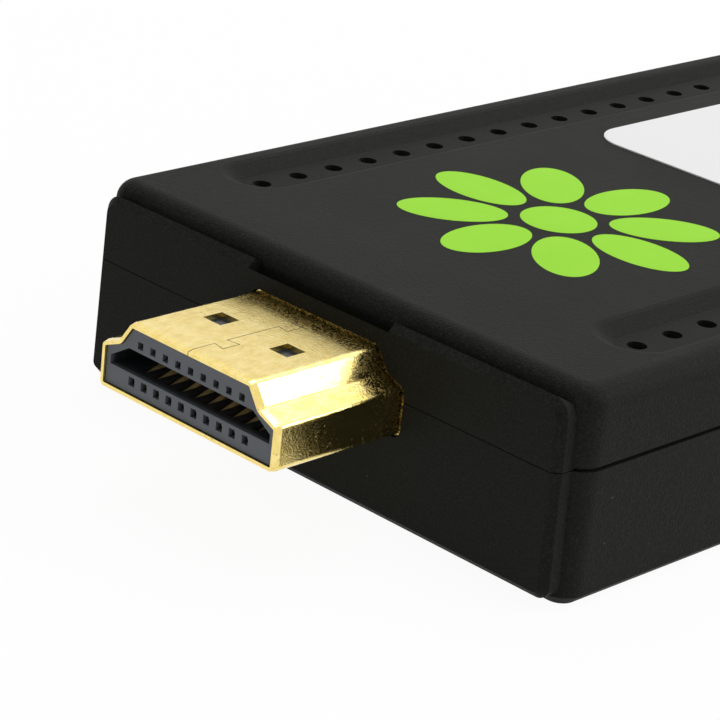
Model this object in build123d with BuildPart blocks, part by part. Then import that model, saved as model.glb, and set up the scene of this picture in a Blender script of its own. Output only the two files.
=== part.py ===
from build123d import *
import os

# Stick computer: a two-part moulded case with a display plug at one end, its board and its sockets.
# Millimetres. +Z is up and the plug points along -Y. The origin is the middle of the part's underside,
# halfway between the plug's tip and the rear wall.

# Case sizes
body_width = 37.8
body_length = 88.0
body_height = 12.45
parting_height = 7.85
side_corner_radius = 1.5
top_round = 1.2
bottom_chamfer = 0.6
wall = 1.4
roof = 1.8
floor = 1.4
inner_corner_radius = 0.2
parting_gap = 0.05
parting_chamfer = 0.2
overrun = 1.0
round_side_count = 12

# Raised pad on the case's front
pad_rise = 1.0
pad_root = 0.5
pad_upper_side_margin = 0.9
pad_lower_side_margin = 0.6
pad_lower_margin = 0.55
pad_upper_margin = 0.6
pad_edge_chamfer = 0.45
pad_upper_corner = 1.1
pad_lower_corner = 0.8
pad_core_margin = 1.9
pad_ledge_slope_share = 0.58
relief_width = 11.0
relief_depth = 0.5

# Vent channels along the two long edges of the roof
vent_from_side = 4.2
vent_diameter = 1.15
vent_pitch = 3.0
vent_count = 24
first_vent_from_front = 8.63
channel_width = 4.8
channel_floor_width = 2.6
channel_depth = 0.62
channel_rim_chamfer = 0.15

# Lip joint, snap hooks and ribs that hold the halves together
lip_thickness = 0.6
lip_height = 0.8
lip_clearance = 0.05
lip_floor_clearance = 0.1
hook_width = 5.0
hook_thickness = 0.7
hook_reach = 2.3
hook_nose = 0.45
hook_nose_height = 0.85
hook_clearance = 0.1
hook_side_clearance = 0.3
hook_place_shares = (-0.66, -0.21, 0.75)
rib_thickness = 0.9
rib_length = 3.0
rib_clearance = 0.1
front_rib_share = -0.46
rib_from_socket = 3.5
cradle_half_width = 9.5
cradle_thickness = 1.2
cradle_from_front_wall = 1.3
cradle_gap = 0.05

# Plug: drawn metal shell, insulator and two rows of contacts
plug_width = 13.9
plug_height = 4.45
plug_reach = 9.2
plug_length = 17.0
plug_base_height = 5.82
plug_sheet = 0.3
plug_side_height = 2.65
plug_shoulder_height = 3.2
plug_shoulder_width = 11.2
plug_top_width = 9.5
plug_bend_radius = 0.4
plug_opening_gap = 0.15
plug_lead_length = 0.35
plug_lead_depth = 0.09
collar_rise = 0.08
collar_length = 0.5
collar_sink = 0.2
window_size = 1.4
window_from_middle = 2.6
window_from_tip = 4.6
window_pocket = 0.15
lower_window_from_middle = 3.1
seam_from_middle = -0.15
seam_width = 0.05
first_dovetail_from_tip = 2.35
dovetail_pitch = 4.7
dovetail_count = 3
dovetail_length = 1.2
dovetail_neck_length = 0.9
dovetail_depth = 0.8
leg_length = 2.6
leg_height = 1.6
leg_from_base = 0.8

insulator_clearance = 0.03
insulator_recess = 0.15
insulator_length = 15.55
slot_floor_height = 1.48
slot_ceiling_height = 2.86
slot_end_height = 2.0
slot_half_width = 6.3
slot_ceiling_half_width = 4.9
slot_depth = 7.5
contact_pitch = 1.0
lower_contact_count = 10
upper_contact_count = 9
contact_width = 0.34
contact_thickness = 0.15
channel_bridge = 0.7
lower_hole_width = 0.48
lower_hole_bottom = 0.77
lower_hole_top = 1.27
upper_hole_width = 0.42
upper_hole_bottom = 3.06
upper_hole_top = 3.48
contact_proud = 0.06
contact_sag = 0.03
contact_bend_shares = (0.3, 0.8, 1.3, 1.5)
contact_tail_overlap = 2.2

# Main board, which stands between the two contact rows
board_thickness = 1.2
board_side_clearance = 1.3
board_front_clearance = 0.2
board_rear_clearance = 1.1
board_tongue_half_width = 5.4
board_tongue_clearance = 0.4
board_notch_clearance = 0.3
board_corner_radius = 0.8
screw_from_board_edge = 3.0
front_screw_from_board = 3.4
rear_screw_from_board = 3.4
screw_diameter = 1.6
screw_head_diameter = 3.0
screw_head_height = 0.9
screw_length = 4.5
screw_hole_clearance = 0.2
screw_pilot_clearance = 0.05
screw_recess_width = 0.4
screw_recess_length = 1.7
screw_recess_depth = 0.5
boss_diameter = 4.0
boss_draft = 1.5
boss_bore_extra = 0.8
solder_clearance = 0.1

# Chips and small parts
processor_size = 15.0
processor_height = 1.2
processor_place_share = -0.366
processor_lid_size = 11.0
processor_lid_height = 0.25
pad_sheet_size = 13.0
pad_sheet_thickness = 0.5
sink_size = 17.0
sink_base = 0.9
sink_fin_count = 7
sink_fin_thickness = 0.8
sink_fin_draft = 2
sink_floor_clearance = 0.8
memory_width = 9.0
memory_length = 13.3
memory_height = 1.1
memory_pitch_across = 12.0
memory_pitch_along = 16.0
flash_width = 12.0
flash_length = 16.0
flash_height = 1.0
flash_place_shares = (0.43, 0.56)
power_chip_size = 7.0
power_chip_height = 0.9
power_chip_place_shares = (0.4, 0.187)
chip_edge_chamfer = 0.15
inductor_size = 4.0
inductor_height = 2.0
inductor_pitch = 5.5
inductor_count = 3
inductor_from_board_front = 10.3
inductor_row_share = 0.154
inductor_corner = 0.7
tantalum_size = (3.5, 2.8, 1.9)
tantalum_place_shares = ((-0.65, 0.05), (-0.65, -0.24), (0.68, -0.39), (0, 0.25), (0, 0.56))
ceramic_size = (1.6, 0.8, 0.8)
ceramic_place_shares = ((-0.8, -0.64), (-0.8, -0.57), (-0.8, -0.24), (-0.8, -0.15), (0.8, -0.64),
                        (0.8, -0.57), (0.8, -0.24), (0.8, -0.15), (0, -0.78), (0.19, -0.86), (-0.19, -0.86),
                        (0.74, 0.11), (0.74, 0.19), (0.74, 0.26), (0.06, 0.11), (0.06, 0.19))
crystal_size = (3.2, 2.5, 0.7)
crystal_place_shares = ((-0.28, 0.125), (-0.28, 0.31))
crystal_corner = 0.3
module_size = 12.0
module_board = 0.5
module_can_height = 1.1
module_can_inset = 0.6
module_place_shares = (-0.4, 0.602)
antenna_length = 11.0
antenna_width = 2.2
antenna_sheet = 0.2
antenna_height = 1.7
antenna_leg_width = 1.0
antenna_feed_from_end = 3.2
antenna_middle_share = -0.31
antenna_from_board_rear = 2.6

# Full-size host socket in the rear wall
host_width = 13.1
host_height = 5.7
host_length = 14.0
host_sheet = 0.3
host_corner_radius = 0.5
host_mouth_recess = 0.6
host_opening_clearance = 0.3
host_tongue_width = 11.1
host_tongue_thickness = 1.84
host_tongue_from_shell = 0.65
host_tongue_recess = 1.2
host_block_length = 4.6
host_fit = 0.04
host_outer_contact = 3.5
host_inner_contact = 1.0
host_contact_width = 1.0
host_contact_thickness = 0.2
host_contact_from_tip = 1.0
host_finger_width = 2.0
host_finger_length = 5.0
host_finger_gap = 0.35
host_finger_from_middle = 3.2
host_finger_from_mouth = 3.0
host_leg_width = 1.2
host_front_leg = 4.5
host_rear_leg = 10.5

# Two small five-contact sockets in the right wall
micro_width = 7.5
micro_height = 2.5
micro_length = 5.0
micro_bevel_run = 0.95
micro_bevel_height = 1.0
micro_sheet = 0.25
micro_corner = 0.3
micro_mouth_recess = 0.6
micro_opening_clearance = 0.35
micro_tongue_width = 3.6
micro_tongue_thickness = 0.6
micro_tongue_reach = 3.1
micro_tongue_from_floor = 0.55
micro_block_length = 1.1
micro_fit = 0.03
micro_contact_count = 5
micro_contact_pitch = 0.65
micro_contact_width = 0.3
micro_contact_thickness = 0.1
micro_contact_from_tip = 0.35
otg_port_from_rear = 39.1
power_port_from_rear = 21.1

# Card socket in the left wall, with its push-push slider
card_path_width = 11.2
card_path_height = 0.85
card_base_thickness = 0.5
card_cover_sheet = 0.2
card_rail_width = 0.9
card_bay_width = 1.5
card_socket_length = 14.2
card_rear_wall = 0.9
card_mouth_from_side = 1.5
card_socket_from_rear = 29.1
card_opening_clearance = 0.2
card_contact_count = 8
card_contact_pitch = 1.1
card_contact_width = 0.5
card_contact_thickness = 0.12
card_contact_length = 4.2
card_contact_drop = 0.4
card_contact_from_rear = 2.3
card_slider_length = 3.4
card_slider_clearance = 0.08
card_slider_start = 4.9
card_cam_place_share = 0.3
card_cam_width_share = 0.5
card_cam_heart_share = 0.25
card_cam_depth_share = 0.35
card_lug_length = 0.9
card_lug_reach = 1.3
card_window_length = 5.5
card_window_width = 4.0

# Reset switch behind a pinhole in the left wall
switch_from_rear = 45.1
switch_width = 4.4
switch_depth = 2.8
switch_height = 1.6
switch_from_board_edge = 0.5
switch_pocket_width = 2.8
switch_pocket_depth = 1.1
switch_front_wall = 0.4
switch_cover_sheet = 0.2
button_width = 1.8
button_height = 0.8
button_shoulder_width = 2.5
button_shoulder_depth = 0.55
button_clearance = 0.06
button_reach = 0.75
pinhole_diameter = 1.3

# Status light and its pipe in the rear wall
light_from_middle = 11.0
light_height_above_board = 0.55
led_size = (1.6, 0.8, 0.8)
led_lens_size = (1.0, 0.3, 0.5)
light_pipe_diameter = 1.8
light_pipe_flange = 2.4
light_pipe_flange_length = 0.6
light_pipe_clearance = 0.05

# Places worked out from the sizes above
overall_length = plug_reach + pad_rise + body_length
tip = -overall_length / 2
pad_face = tip + plug_reach
front = pad_face + pad_rise
rear = overall_length / 2
body_middle = (front + rear) / 2
half_length = body_length / 2
side = body_width / 2
vent_from_middle = side - vent_from_side
inner_side = side - wall
inner_front = front + wall
inner_rear = rear - wall
roof_underside = body_height - roof
channel_floor = body_height - channel_depth
first_vent = front + first_vent_from_front
vents_middle = first_vent + vent_pitch * (vent_count - 1) / 2
pad_half_width = side - pad_upper_side_margin
pad_lower_half_width = side - pad_lower_side_margin
pad_top = body_height - pad_upper_margin
cradle_front = inner_front + cradle_from_front_wall
board_middle = plug_base_height + (slot_floor_height + slot_ceiling_height) / 2
board_bottom = board_middle - board_thickness / 2
board_top = board_middle + board_thickness / 2
board_half_width = inner_side - board_side_clearance
board_front = cradle_front + cradle_thickness + board_front_clearance
board_rear = inner_rear - board_rear_clearance
board_half_length = (board_rear - board_front) / 2
insulator_front = tip + insulator_recess
insulator_rear = insulator_front + insulator_length
board_tongue_front = insulator_rear + board_tongue_clearance
plug_rear = tip + plug_length
contact_end = board_tongue_front + contact_tail_overlap
front_screw = board_front + front_screw_from_board
rear_screw = board_rear - rear_screw_from_board
screw_from_middle = board_half_width - screw_from_board_edge
screw_places = [(x, y) for x in (-screw_from_middle, screw_from_middle) for y in (front_screw, rear_screw)]
otg_port_place = rear - otg_port_from_rear
power_port_place = rear - power_port_from_rear
card_socket_place = rear - card_socket_from_rear
switch_place = rear - switch_from_rear
host_mouth = rear - host_mouth_recess
host_back = host_mouth - host_length
host_bottom = board_bottom - host_height
host_legs = (host_mouth - host_front_leg, host_mouth - host_rear_leg)
host_contact_row = (-host_outer_contact, -host_inner_contact, host_inner_contact, host_outer_contact)
micro_mouth = side - micro_mouth_recess
micro_back = micro_mouth - micro_length
micro_bottom = board_bottom - micro_height
card_mouth = card_mouth_from_side - side
card_back = card_mouth + card_socket_length
card_roof = board_bottom - card_base_thickness
card_floor = card_roof - card_path_height
card_low_side = card_socket_place - card_path_width / 2
card_high_side = card_socket_place + card_path_width / 2
card_bay_end = card_high_side + card_bay_width
switch_front = switch_from_board_edge - board_half_width
switch_back = switch_front + switch_depth
switch_bottom = board_bottom - switch_height
button_middle_height = board_bottom - switch_height / 2
light_height = board_top + light_height_above_board
lip_floor = parting_height - lip_height - lip_floor_clearance
hook_row = [body_middle + share * half_length for share in hook_place_shares]
front_rib = body_middle + front_rib_share * half_length
left_ribs = (front_rib, (switch_place + switch_width / 2 + card_low_side - card_rail_width) / 2,
             card_bay_end + card_rail_width + rib_from_socket)
right_ribs = (front_rib, otg_port_place - micro_width / 2 - rib_from_socket,
              (otg_port_place + power_port_place) / 2)
rib_rows = [(-1, y) for y in left_ribs] + [(1, y) for y in right_ribs]


# Shapes that several pieces share
def plug_outline(grow):
    """The plug's outline seen from its tip, standing on its wide side, grown all round."""
    with BuildSketch(mode=Mode.PRIVATE) as outline:
        with BuildLine():
            Polyline((0, 0), (plug_width / 2, 0), (plug_width / 2, plug_side_height),
                     (plug_shoulder_width / 2, plug_shoulder_height), (plug_top_width / 2, plug_height),
                     (0, plug_height))
            mirror(about=Plane.YZ)
        make_face()
        corners = outline.vertices().filter_by(lambda v: abs(v.X) > plug_top_width / 4)
        fillet(corners, plug_bend_radius)
        if grow:
            offset(amount=grow)
    return outline.sketch


def plug_plane(y):
    """An upright plane across the plug at y, with its origin on the plug's base and its normal to -Y."""
    return Plane(origin=(0, y, plug_base_height), x_dir=(1, 0, 0), z_dir=(0, -1, 0))


def across(y):
    """An upright plane across the case at y, with local x along X, local y along Z and its normal to -Y."""
    return Plane.XZ.offset(-y)


def case_plan(inset, mode=Mode.ADD):
    """The case's outline from above, drawn in by an inset."""
    with Locations((0, body_middle)):
        RectangleRounded(body_width - 2 * inset, body_length - 2 * inset,
                         max(side_corner_radius - inset, inner_corner_radius), mode=mode)


def slab(x0, x1, y0, y1, z0, z1, mode=Mode.ADD):
    """A block between two corners, in the part that is open."""
    with Locations(((x0 + x1) / 2, (y0 + y1) / 2, (z0 + z1) / 2)):
        return Box(x1 - x0, y1 - y0, z1 - z0, mode=mode)


def small_round(radius):
    """A small round outline with few sides, in the sketch that is open."""
    RegularPolygon(radius, round_side_count)


def on_board(shares):
    """A place on the board from shares of its half width and half length, from its middle."""
    across_share, along_share = shares
    return across_share * board_half_width, board_rear + (along_share - 1) * board_half_length


def micro_outline(grow):
    """A small socket's outline from its mouth: local x along Y, local y down from the board."""
    half = micro_width / 2
    with BuildSketch(mode=Mode.PRIVATE) as outline:
        with BuildLine():
            Polyline((0, 0), (half - micro_bevel_run, 0), (half, -micro_bevel_height), (half, -micro_height),
                     (0, -micro_height))
            mirror(about=Plane.YZ)
        make_face()
        chamfer(outline.vertices().filter_by(lambda v: abs(v.X) > micro_width / 4), micro_corner)
        if grow:
            offset(amount=grow)
    return outline.sketch


def micro_plane(x, place):
    """An upright plane along the case's side at x, with its origin under the board and its normal to +X."""
    return Plane(origin=(x, place, board_bottom), x_dir=(0, 1, 0), z_dir=(1, 0, 0))


def cut_ports():
    """Cuts the openings of the plug and of every socket out of the case half that is open."""
    with BuildSketch(plug_plane(pad_face - overrun)) as plug_opening:
        add(plug_outline(plug_opening_gap))
    extrude(plug_opening.sketch, amount=-(pad_rise + wall + 2 * overrun), mode=Mode.SUBTRACT)
    with BuildSketch(across(inner_rear - overrun)) as host_opening:
        with Locations((0, host_bottom + host_height / 2)):
            RectangleRounded(host_width + 2 * host_opening_clearance,
                             host_height + 2 * host_opening_clearance,
                             host_corner_radius + host_opening_clearance)
    extrude(host_opening.sketch, amount=-(wall + 2 * overrun), mode=Mode.SUBTRACT)
    for place in (otg_port_place, power_port_place):
        slab(board_half_width, side + overrun, place - micro_width / 2 - micro_opening_clearance,
             place + micro_width / 2 + micro_opening_clearance,
             micro_bottom - micro_opening_clearance, parting_height, Mode.SUBTRACT)
    slab(-side - overrun, -board_half_width, card_low_side - card_opening_clearance,
         card_high_side + card_opening_clearance, card_floor - card_opening_clearance,
         card_roof + card_opening_clearance, Mode.SUBTRACT)
    slab(-inner_side - overrun / 2, -board_half_width,
         card_low_side - card_rail_width - card_opening_clearance,
         card_bay_end + card_rail_width + card_opening_clearance,
         card_floor - card_cover_sheet - card_opening_clearance, parting_height, Mode.SUBTRACT)
    with BuildSketch(Plane.YZ.offset(-side - overrun)) as pinhole:
        with Locations((switch_place, button_middle_height)):
            small_round(pinhole_diameter / 2)
    extrude(pinhole.sketch, amount=wall + 2 * overrun, mode=Mode.SUBTRACT)
    with BuildSketch(across(inner_rear - overrun)) as light_bore:
        with Locations((light_from_middle, light_height)):
            small_round(light_pipe_diameter / 2 + light_pipe_clearance)
    extrude(light_bore.sketch, amount=-(wall + 2 * overrun), mode=Mode.SUBTRACT)


def cradle(bottom, top):
    """The web across the case that carries the plug, with all inside the walls cleared round the plug."""
    slab(-cradle_half_width, cradle_half_width, cradle_front, cradle_front + cradle_thickness, bottom, top)
    with BuildSketch(plug_plane(inner_front)) as seat:
        add(plug_outline(cradle_gap))
    extrude(seat.sketch, amount=inner_front - plug_rear - cradle_gap, mode=Mode.SUBTRACT)


def pad_ledge(half_width, y, level):
    """Cuts off the pad what stands over a ledge that falls from a level at y back to the case."""
    back = front + pad_root
    with BuildSketch(Plane.YZ.offset(-half_width)) as ledge:
        with BuildLine():
            Polyline((y, level), (back, level - pad_ledge_slope_share * (back - y)), (back, body_height),
                     (y, body_height), close=True)
        make_face()
    extrude(ledge.sketch, amount=2 * half_width, mode=Mode.SUBTRACT)


# Case form: the closed outside of both halves, with the pad that stands proud of the front
with BuildPart() as case_form:
    with BuildSketch():
        case_plan(0)
    extrude(amount=body_height)
    fillet(case_form.faces().sort_by(Axis.Z)[-1].edges(), top_round)
    chamfer(case_form.faces().sort_by(Axis.Z)[0].edges(), bottom_chamfer)
    with BuildPart(mode=Mode.PRIVATE) as pad:
        with BuildSketch(across(pad_face)) as pad_outline:
            with BuildLine():
                Polyline((-pad_lower_half_width, pad_lower_margin), (pad_lower_half_width, pad_lower_margin),
                         (pad_half_width, pad_top), (-pad_half_width, pad_top), close=True)
            make_face()
            upper = pad_outline.vertices().filter_by(lambda v: abs(v.X) < pad_half_width + parting_gap)
            fillet(upper, pad_upper_corner)
            lower = pad_outline.vertices().filter_by(lambda v: abs(v.X) > pad_lower_half_width - parting_gap)
            fillet(lower, pad_lower_corner)
        extrude(amount=-(pad_rise + pad_root))
        chamfer(pad.faces().sort_by(Axis.Y)[0].edges(), pad_edge_chamfer)
        pad_ledge(side, pad_face + pad_edge_chamfer, pad_top)
        pad_ledge(relief_width / 2, pad_face, pad_top - relief_depth)
    add(pad.part)


# Upper shell: roof with scooped vent channels, lip, snap hooks and ribs
def vent_channels():
    for x in (-vent_from_middle, vent_from_middle):
        run = vent_pitch * (vent_count - 1)
        sections = []
        for height, width in ((body_height, channel_width), (channel_floor, channel_floor_width)):
            with BuildSketch(Plane.XY.offset(height)) as section:
                with Locations((x, vents_middle)):
                    SlotCenterToCenter(run, width, rotation=90)
            sections.append(section.sketch.face())
        loft(sections, mode=Mode.SUBTRACT)
    with BuildSketch(Plane.XY.offset(roof_underside)) as vents:
        with Locations((0, vents_middle)):
            with GridLocations(2 * vent_from_middle, vent_pitch, 2, vent_count):
                small_round(vent_diameter / 2)
    extrude(vents.sketch, amount=roof, mode=Mode.SUBTRACT)


def snap_hooks():
    outer = inner_side - hook_clearance
    inner = outer - hook_thickness
    tip_height = parting_height - hook_reach
    nose_top = tip_height + hook_nose_height
    for y in hook_row:
        with BuildSketch(across(y - hook_width / 2)) as hook:
            with BuildLine():
                Polyline((inner, roof_underside), (inner, tip_height), (outer - hook_nose / 2, tip_height),
                         (outer + hook_nose, nose_top - hook_nose / 2),
                         (outer + hook_nose, nose_top - hook_nose / 4), (outer, nose_top),
                         (outer, parting_height - lip_height),
                         (inner_side + lip_thickness / 2, parting_height - lip_height),
                         (inner_side + lip_thickness / 2, roof_underside), close=True)
            make_face()
            mirror(about=Plane.YZ)
        extrude(hook.sketch, amount=-hook_width)


with BuildPart() as upper_shell:
    add(case_form.part)
    split(bisect_by=Plane.XY.offset(parting_height + parting_gap), keep=Keep.TOP)
    with BuildSketch(Plane.XY.offset(parting_height)):
        case_plan(wall)
    extrude(amount=roof_underside - parting_height, mode=Mode.SUBTRACT)
    slab(-pad_half_width + pad_core_margin, pad_half_width - pad_core_margin, front - pad_rise + wall,
         inner_front, parting_height, roof_underside, Mode.SUBTRACT)
    vent_channels()
    rim = upper_shell.faces().filter_by(Plane.XY).sort_by(Axis.Z)[-1].inner_wires()
    chamfer(rim.edges(), channel_rim_chamfer)
    with BuildSketch(Plane.XY.offset(parting_height - lip_height)):
        case_plan(wall - lip_thickness)
        case_plan(wall, Mode.SUBTRACT)
    extrude(amount=lip_height + 2 * parting_gap)
    snap_hooks()
    for side_sign, y in rib_rows:
        near, far = sorted((side_sign * (board_half_width - rib_length), side_sign * board_half_width))
        slab(near, far, y - rib_thickness / 2, y + rib_thickness / 2, board_top + rib_clearance,
             roof_underside)
    cradle(parting_height + parting_gap, roof_underside)
    cut_ports()
    seam = upper_shell.edges().filter_by_position(Axis.Z, parting_height, parting_height + 2 * parting_gap)
    chamfer(seam.filter_by(lambda e: abs(e.center().X) > pad_half_width and
                           max(abs(v.X) for v in e.vertices()) > side - parting_gap), parting_chamfer)
upper_shell.part.label = "upper_shell"


# Lower shell: floor, bosses for the screws, rebate for the lip, pockets for the hooks and board ledges
def screw_bosses():
    with BuildSketch(Plane.XY.offset(board_bottom)) as bosses:
        with Locations(*screw_places):
            small_round(boss_diameter / 2)
    extrude(bosses.sketch, amount=-(board_bottom - floor), taper=-boss_draft)
    with BuildSketch(Plane.XY.offset(board_bottom)) as bores:
        with Locations(*screw_places):
            small_round(screw_diameter / 2 + screw_pilot_clearance)
    extrude(bores.sketch, amount=-(screw_length + boss_bore_extra - board_thickness), mode=Mode.SUBTRACT)


def hook_pockets():
    tip_height = parting_height - hook_reach
    for y in hook_row:
        for side_sign in (-1, 1):
            xs = sorted((side_sign * (inner_side - overrun / 2), side_sign * (inner_side + hook_nose)))
            slab(*xs, y - hook_width / 2 - hook_side_clearance, y + hook_width / 2 + hook_side_clearance,
                 tip_height - hook_clearance, tip_height + hook_nose_height + hook_clearance, Mode.SUBTRACT)


with BuildPart() as lower_shell:
    add(case_form.part)
    split(bisect_by=Plane.XY.offset(parting_height), keep=Keep.BOTTOM)
    with BuildSketch(Plane.XY.offset(floor)):
        case_plan(wall)
    extrude(amount=parting_height - floor, mode=Mode.SUBTRACT)
    slab(-pad_half_width + pad_core_margin, pad_half_width - pad_core_margin, front - pad_rise + wall,
         inner_front, pad_lower_margin + pad_core_margin, parting_height, Mode.SUBTRACT)
    with BuildSketch(Plane.XY.offset(parting_height)):
        case_plan(wall - lip_thickness - lip_clearance)
    extrude(amount=-(lip_height + lip_floor_clearance), mode=Mode.SUBTRACT)
    hook_pockets()
    screw_bosses()
    for side_sign, y in rib_rows:
        for reach, top in ((inner_side + parting_gap, lip_floor),
                           (inner_side - lip_floor_clearance, board_bottom)):
            near, far = sorted((side_sign * (board_half_width - rib_length), side_sign * reach))
            slab(near, far, y - rib_thickness / 2, y + rib_thickness / 2, floor - parting_gap, top)
    cradle(floor - parting_gap, parting_height)
    cut_ports()
lower_shell.part.label = "lower_shell"


# Plug shell: drawn metal tube with a dovetailed seam, latch windows, collar and solder legs
def dovetail_seam():
    """Points of the seam from the tip back, seen from above."""
    x = seam_from_middle
    flare = (dovetail_length - dovetail_neck_length) / 2
    points = [(x, tip - overrun)]
    for i in range(dovetail_count):
        y = tip + first_dovetail_from_tip + i * dovetail_pitch
        neck = dovetail_neck_length / 2
        points += [(x, y - neck), (x + dovetail_depth, y - neck - flare),
                   (x + dovetail_depth, y + neck + flare), (x, y + neck)]
    return points + [(x, plug_rear + overrun)]


with BuildPart() as plug_shell:
    with BuildSketch(plug_plane(tip)):
        add(plug_outline(0))
        add(plug_outline(-plug_sheet), mode=Mode.SUBTRACT)
    extrude(amount=-plug_length)
    mouth = plug_shell.faces().sort_by(Axis.Y)[0]
    chamfer(mouth.outer_wire().edges(), plug_lead_depth, plug_lead_length, reference=mouth)
    with BuildSketch(plug_plane(pad_face + collar_sink)):
        add(plug_outline(collar_rise))
        add(plug_outline(-plug_sheet / 2), mode=Mode.SUBTRACT)
    extrude(amount=-collar_length)
    plug_top = plug_base_height + plug_height
    with BuildSketch(Plane.XY.offset(plug_top + overrun)):
        with Locations((-window_from_middle, tip + window_from_tip),
                       (window_from_middle, tip + window_from_tip)):
            Rectangle(window_size, window_size)
    extrude(amount=-(overrun + 2 * plug_sheet), mode=Mode.SUBTRACT)
    with BuildSketch(Plane.XY.offset(plug_base_height - overrun)):
        with Locations((-lower_window_from_middle, tip + window_from_tip),
                       (lower_window_from_middle, tip + window_from_tip)):
            Rectangle(window_size, window_size)
    extrude(amount=overrun + 2 * plug_sheet, mode=Mode.SUBTRACT)
    for x in (-plug_width / 2, plug_width / 2 - plug_sheet):
        slab(x, x + plug_sheet, plug_rear, plug_rear + leg_length, plug_base_height + leg_from_base,
             plug_base_height + leg_from_base + leg_height)
    with BuildSketch(Plane.XY.offset(plug_top + overrun)):
        with BuildLine() as seam_line:
            Polyline(*dovetail_seam())
        trace(line_width=seam_width)
    extrude(amount=-(overrun + plug_height / 4), mode=Mode.SUBTRACT)
plug_shell.part.label = "plug_shell"


# Plug insulator: moulded block with the slot, the square holes and a channel for each contact
def contact_row(count):
    return [contact_pitch * (i - (count - 1) / 2) for i in range(count)]


lower_channel_top = slot_floor_height + contact_proud + contact_thickness + solder_clearance
upper_channel_bottom = slot_ceiling_height - contact_proud - contact_thickness - solder_clearance

with BuildPart() as plug_insulator:
    with BuildSketch(plug_plane(insulator_front)):
        add(plug_outline(-plug_sheet - insulator_clearance))
    extrude(amount=-insulator_length)
    with BuildSketch(plug_plane(insulator_front)):
        with BuildLine():
            Polyline((0, slot_floor_height), (slot_half_width, slot_floor_height),
                     (slot_half_width, slot_end_height), (slot_ceiling_half_width, slot_ceiling_height),
                     (0, slot_ceiling_height))
            mirror(about=Plane.YZ)
        make_face()
    extrude(amount=-slot_depth, mode=Mode.SUBTRACT)
    for count, width, low, high, channel_low, channel_high in (
            (lower_contact_count, lower_hole_width, lower_hole_bottom, lower_hole_top,
             lower_hole_bottom, lower_channel_top),
            (upper_contact_count, upper_hole_width, upper_hole_bottom, upper_hole_top,
             upper_channel_bottom, upper_hole_top)):
        with BuildSketch(plug_plane(insulator_front)):
            for x in contact_row(count):
                with Locations((x, (low + high) / 2)):
                    Rectangle(width, high - low)
        extrude(amount=-channel_bridge, mode=Mode.SUBTRACT)
        with BuildSketch(plug_plane(insulator_front + channel_bridge)):
            for x in contact_row(count):
                with Locations((x, (channel_low + channel_high) / 2)):
                    Rectangle(width, channel_high - channel_low)
        extrude(amount=-insulator_length, mode=Mode.SUBTRACT)
    for height, spread, direction in ((plug_height, window_from_middle, -1),
                                      (0, lower_window_from_middle, 1)):
        with BuildSketch(Plane.XY.offset(plug_base_height + height)):
            with Locations((-spread, tip + window_from_tip), (spread, tip + window_from_tip)):
                Rectangle(window_size, window_size)
        extrude(amount=direction * (plug_sheet + window_pocket), mode=Mode.SUBTRACT)
plug_insulator.part.label = "plug_insulator"


# Plug contacts: formed strips whose tips sit in the square holes and whose tails lie on the board
def contact_profile(tip_height, hump_height, sag_height, tail_height):
    """A strip's side outline as places along Y and heights over the plug's base, by its middle line."""
    bends = [insulator_front + share * slot_depth for share in contact_bend_shares]
    middle = [(insulator_front + channel_bridge / 2, tip_height),
              (insulator_front + channel_bridge, tip_height),
              *zip(bends, (hump_height, sag_height, sag_height, tail_height)), (contact_end, tail_height)]
    half = contact_thickness / 2
    upper = [(y, plug_base_height + z + half) for y, z in middle]
    lower = [(y, plug_base_height + z - half) for y, z in reversed(middle)]
    return upper + lower


def contact_strips(places, profile):
    for x in places:
        with BuildSketch(Plane.YZ.offset(x - contact_width / 2)) as strip:
            with BuildLine():
                Polyline(*profile, close=True)
            make_face()
        extrude(strip.sketch, amount=contact_width)


lower_tail = board_bottom - contact_thickness / 2 - plug_base_height
upper_tail = board_top + contact_thickness / 2 - plug_base_height

with BuildPart() as plug_contacts_lower:
    contact_strips(contact_row(lower_contact_count),
                   contact_profile((lower_hole_bottom + lower_hole_top) / 2,
                                   slot_floor_height + contact_proud, slot_floor_height - contact_sag,
                                   lower_tail))
plug_contacts_lower.part.label = "plug_contacts_lower"

with BuildPart() as plug_contacts_upper:
    contact_strips(contact_row(upper_contact_count),
                   contact_profile((upper_hole_bottom + upper_hole_top) / 2,
                                   slot_ceiling_height - contact_proud, slot_ceiling_height + contact_sag,
                                   upper_tail))
plug_contacts_upper.part.label = "plug_contacts_upper"


# Main board: tongue between the contact rows, notches for the plug's legs, holes for screws and socket legs
with BuildPart() as main_board:
    with BuildSketch(Plane.XY.offset(board_bottom)) as board_outline:
        with Locations((0, (board_front + board_rear) / 2)):
            RectangleRounded(2 * board_half_width, board_rear - board_front, board_corner_radius)
        notch_half = plug_width / 2 + board_notch_clearance
        notch_end = plug_rear + leg_length + board_notch_clearance
        with Locations((0, (board_front - overrun + notch_end) / 2)):
            Rectangle(2 * notch_half, notch_end - board_front + overrun, mode=Mode.SUBTRACT)
        with Locations((0, (board_tongue_front + notch_end + overrun) / 2)):
            Rectangle(2 * board_tongue_half_width, notch_end + overrun - board_tongue_front)
        with Locations(*screw_places):
            RegularPolygon(screw_diameter / 2 + screw_hole_clearance, round_side_count, mode=Mode.SUBTRACT)
        for x in (-host_width / 2 + host_sheet / 2, host_width / 2 - host_sheet / 2):
            for y in host_legs:
                with Locations((x, y)):
                    Rectangle(host_sheet + 2 * solder_clearance, host_leg_width + 2 * solder_clearance,
                              mode=Mode.SUBTRACT)
    extrude(amount=board_thickness)
main_board.part.label = "main_board"


# Chips: square-edged packages on the board's top, with a chamfered upper edge
def chip(x, y, width, length, height):
    block = slab(x - width / 2, x + width / 2, y - length / 2, y + length / 2, board_top, board_top + height)
    chamfer(block.faces().sort_by(Axis.Z)[-1].edges(), chip_edge_chamfer)


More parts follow.
